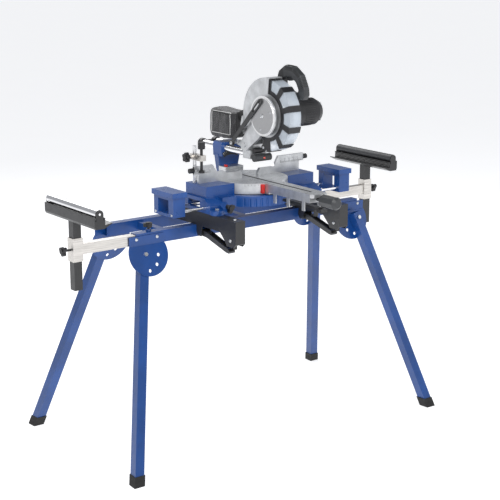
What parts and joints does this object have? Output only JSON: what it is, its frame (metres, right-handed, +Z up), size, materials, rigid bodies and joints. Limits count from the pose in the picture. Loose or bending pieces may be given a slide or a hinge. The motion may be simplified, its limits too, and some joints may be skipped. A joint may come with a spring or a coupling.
{
  "type": "mitre saw on stand",
  "caption": "Sliding compound mitre saw bolted to a folding stand with splayed legs, pull-out support rollers and quick-release brackets.",
  "frame": {"origin": "on the floor, straight below the turntable's centre, at the middle of the outline", "axes": "+X to the operator's right along the beams, +Y to the back, +Z up"},
  "size_m": [1.5612, 0.9715, 1.354],
  "materials": {
    "blue_paint": "gloss",
    "blue_casting": "blue gloss paint",
    "silver_tube": "satin",
    "cast_silver": "satin",
    "black_steel": "satin",
    "black_plastic": "matt",
    "dark_plastic": "satin",
    "chrome_steel": "polished",
    "bolt_steel": "zinc plated",
    "blade_steel": "ground",
    "smoke_clear": "clear",
    "bag_fabric": "woven"
  },
  "bodies": {
    "stand": {"front_beam": "blue_paint", "rear_beam": "blue_paint", "cross_members": "blue_paint", "leg_plates": "blue_paint", "leg_bolts": "bolt_steel"},
    "arm_left": {"arm_left": "silver_tube"},
    "arm_right": {"arm_right": "silver_tube"},
    "support_left": {"post_left": "black_steel", "support_left": "black_steel"},
    "support_right": {"post_right": "black_steel", "support_right": "black_steel"},
    "roller_left": {"roller_left": "chrome_steel"},
    "roller_right": {"roller_right": "black_steel"},
    "post_knob_left": {"post_knob_left": "black_plastic"},
    "post_knob_right": {"post_knob_right": "black_plastic"},
    "arm_knob_left": {"arm_knob_left": "black_plastic"},
    "arm_knob_right": {"arm_knob_right": "black_plastic"},
    "leg_front_left": {"leg_front_left": "blue_paint"},
    "leg_front_right": {"leg_front_right": "blue_paint"},
    "leg_rear_left": {"leg_rear_left": "blue_paint"},
    "leg_rear_right": {"leg_rear_right": "blue_paint"},
    "saw_base": {"bracket_left": "black_steel", "bracket_right": "black_steel", "base_casting": "blue_casting", "base_bolts": "bolt_steel", "fence_rail": "cast_silver", "clamp_post": "chrome_steel"},
    "lever_left": {"bracket_lever_left": "black_steel"},
    "lever_right": {"bracket_lever_right": "black_steel"},
    "extension_left": {"extension_left": "blue_casting"},
    "extension_right": {"extension_right": "blue_casting"},
    "extension_screw_left": {"extension_screw_left": "black_plastic"},
    "extension_screw_right": {"extension_screw_right": "black_plastic"},
    "fence_left": {"fence_left": "cast_silver"},
    "fence_right": {"fence_right": "cast_silver"},
    "clamp_arm": {"clamp_arm": "silver_tube"},
    "clamp_screw": {"clamp_screw": "black_plastic"},
    "clamp_knob": {"clamp_knob": "black_plastic"},
    "turntable": {"turntable": "cast_silver", "kerf_insert": "black_plastic"},
    "mitre_handle": {"mitre_handle": "dark_plastic"},
    "detent_lever": {"detent_lever": "black_steel"},
    "bevel_post": {"bevel_post": "blue_casting"},
    "bevel_lever": {"bevel_lever": "black_plastic"},
    "carriage": {"slide_rails": "chrome_steel", "rail_caps": "black_plastic", "pivot_carrier": "cast_silver", "laser_unit": "dark_plastic"},
    "head": {"head_arm": "cast_silver", "guard_cover": "cast_silver", "motor_housing": "black_plastic", "handle": "dark_plastic", "dust_bag": "bag_fabric"},
    "trigger": {"trigger": "black_plastic"},
    "blade": {"blade": "blade_steel"},
    "guard": {"lower_guard": "smoke_clear", "guard_frame": "black_plastic"},
    "link": {"guard_link": "black_steel"}
  },
  "joints": [
    {"name": "leg_front_left_fold", "type": "hinge", "parent": "stand", "child": "leg_front_left", "pos_m": [-0.47, -0.029, 0.728], "axis": [0, -0.9542, 0.299], "range_deg": [0, 100]},
    {"name": "leg_front_right_fold", "type": "hinge", "parent": "stand", "child": "leg_front_right", "pos_m": [0.47, -0.029, 0.728], "axis": [0, 0.9542, -0.299], "range_deg": [0, 100]},
    {"name": "leg_rear_left_fold", "type": "hinge", "parent": "stand", "child": "leg_rear_left", "pos_m": [-0.47, 0.219, 0.728], "axis": [0, -0.9542, -0.299], "range_deg": [0, 100]},
    {"name": "leg_rear_right_fold", "type": "hinge", "parent": "stand", "child": "leg_rear_right", "pos_m": [0.47, 0.219, 0.728], "axis": [0, 0.9542, 0.299], "range_deg": [0, 100]},
    {"name": "arm_left_slide", "type": "slide", "parent": "stand", "child": "arm_left", "axis": [-1, 0, 0], "range_m": [-0.165, 0.15]},
    {"name": "support_left_height", "type": "slide", "parent": "arm_left", "child": "support_left", "axis": [0, 0, 1], "range_m": [-0.05, 0.07]},
    {"name": "roller_left_spin", "type": "hinge", "parent": "support_left", "child": "roller_left", "pos_m": [-0.725, 0, 0.925], "axis": [0, 1, 0], "continuous": true},
    {"name": "post_knob_left_turn", "type": "hinge", "parent": "arm_left", "child": "post_knob_left", "pos_m": [-0.76, 0, 0.779], "axis": [1, 0, 0], "range_deg": [0, 180]},
    {"name": "arm_knob_left_turn", "type": "hinge", "parent": "stand", "child": "arm_knob_left", "pos_m": [-0.438, 0, 0.82], "axis": [0, 0, 1], "range_deg": [0, 180]},
    {"name": "arm_right_slide", "type": "slide", "parent": "stand", "child": "arm_right", "axis": [1, 0, 0], "range_m": [-0.165, 0.15]},
    {"name": "support_right_height", "type": "slide", "parent": "arm_right", "child": "support_right", "axis": [0, 0, 1], "range_m": [-0.05, 0.07]},
    {"name": "roller_right_spin", "type": "hinge", "parent": "support_right", "child": "roller_right", "pos_m": [0.725, 0.19, 0.925], "axis": [0, 1, 0], "continuous": true},
    {"name": "post_knob_right_turn", "type": "hinge", "parent": "arm_right", "child": "post_knob_right", "pos_m": [0.76, 0.19, 0.779], "axis": [1, 0, 0], "range_deg": [0, 180]},
    {"name": "arm_knob_right_turn", "type": "hinge", "parent": "stand", "child": "arm_knob_right", "pos_m": [0.438, 0.19, 0.82], "axis": [0, 0, 1], "range_deg": [0, 180]},
    {"name": "saw_along_beams", "type": "slide", "parent": "stand", "child": "saw_base", "axis": [1, 0, 0], "range_m": [-0.06, 0.06]},
    {"name": "bracket_lever_left_swing", "type": "hinge", "parent": "saw_base", "child": "lever_left", "pos_m": [-0.23, -0.035, 0.775], "axis": [-1, 0, 0], "range_deg": [-70, 0]},
    {"name": "extension_left_slide", "type": "slide", "parent": "saw_base", "child": "extension_left", "axis": [-1, 0, 0], "range_m": [0, 0.08]},
    {"name": "extension_screw_left_turn", "type": "hinge", "parent": "saw_base", "child": "extension_screw_left", "pos_m": [-0.186, -0.1, 0.87], "axis": [0, 1, 0], "range_deg": [0, 180]},
    {"name": "fence_left_slide", "type": "slide", "parent": "saw_base", "child": "fence_left", "axis": [-1, 0, 0], "range_m": [0, 0.06]},
    {"name": "bracket_lever_right_swing", "type": "hinge", "parent": "saw_base", "child": "lever_right", "pos_m": [0.23, -0.035, 0.775], "axis": [-1, 0, 0], "range_deg": [-70, 0]},
    {"name": "extension_right_slide", "type": "slide", "parent": "saw_base", "child": "extension_right", "axis": [1, 0, 0], "range_m": [0, 0.08]},
    {"name": "extension_screw_right_turn", "type": "hinge", "parent": "saw_base", "child": "extension_screw_right", "pos_m": [0.186, -0.1, 0.87], "axis": [0, 1, 0], "range_deg": [0, 180]},
    {"name": "fence_right_slide", "type": "slide", "parent": "saw_base", "child": "fence_right", "axis": [1, 0, 0], "range_m": [0, 0.06]},
    {"name": "clamp_arm_height", "type": "slide", "parent": "saw_base", "child": "clamp_arm", "axis": [0, 0, -1], "range_m": [-0.02, 0.02]},
    {"name": "clamp_screw_travel", "type": "slide", "parent": "clamp_arm", "child": "clamp_screw", "axis": [0, 0, 1], "range_m": [-0.02, 0.02]},
    {"name": "clamp_knob_turn", "type": "hinge", "parent": "clamp_arm", "child": "clamp_knob", "pos_m": [-0.247, 0.025, 1.034], "axis": [1, 0, 0], "range_deg": [0, 180]},
    {"name": "mitre_turn", "type": "hinge", "parent": "saw_base", "child": "turntable", "pos_m": [0, 0, 0.94], "axis": [0, 0, 1], "range_deg": [-45, 45]},
    {"name": "mitre_handle_turn", "type": "hinge", "parent": "turntable", "child": "mitre_handle", "pos_m": [0, -0.42, 0.92], "axis": [0, 1, 0], "range_deg": [0, 180]},
    {"name": "detent_lever_lift", "type": "slide", "parent": "turntable", "child": "detent_lever", "axis": [0, 0, 1], "range_m": [0, 0.005], "stiffness_N_per_m": 800, "springref_m": -0.004},
    {"name": "bevel_tilt", "type": "hinge", "parent": "turntable", "child": "bevel_post", "pos_m": [0, 0.15, 0.94], "axis": [0, -1, 0], "range_deg": [0, 45]},
    {"name": "bevel_lever_turn", "type": "hinge", "parent": "bevel_post", "child": "bevel_lever", "pos_m": [0, 0.182, 0.94], "axis": [0, 1, 0], "range_deg": [-60, 0]},
    {"name": "head_slide", "type": "slide", "parent": "bevel_post", "child": "carriage", "axis": [0, -1, 0], "range_m": [-0.1, 0.078]},
    {"name": "head_chop", "type": "hinge", "parent": "carriage", "child": "head", "pos_m": [0, -0.03, 1.064], "axis": [-1, 0, 0], "range_deg": [-52, 0], "stiffness_Nm_per_rad": 16, "springref_deg": 42.97},
    {"name": "blade_spin", "type": "hinge", "parent": "head", "child": "blade", "pos_m": [0, -0.145, 1.18], "axis": [1, 0, 0], "continuous": true},
    {"name": "guard_swing", "type": "hinge", "parent": "head", "child": "guard", "pos_m": [0, -0.145, 1.18], "axis": [-1, 0, 0], "range_deg": [0, 110]},
    {"name": "link_swing", "type": "hinge", "parent": "carriage", "child": "link", "pos_m": [-0.06, 0.03, 1.065], "axis": [-1, 0, 0], "range_deg": [-42, 0]},
    {"name": "trigger_press", "type": "slide", "parent": "head", "child": "trigger", "axis": [0, 0, 1], "range_m": [0, 0.005], "stiffness_N_per_m": 900, "springref_m": -0.002}
  ],
  "couplings": [
    {"joint": "guard_swing", "follows": "head_chop", "ratio": -2.1},
    {"joint": "link_swing", "follows": "head_chop", "ratio": 0.8}
  ]
}
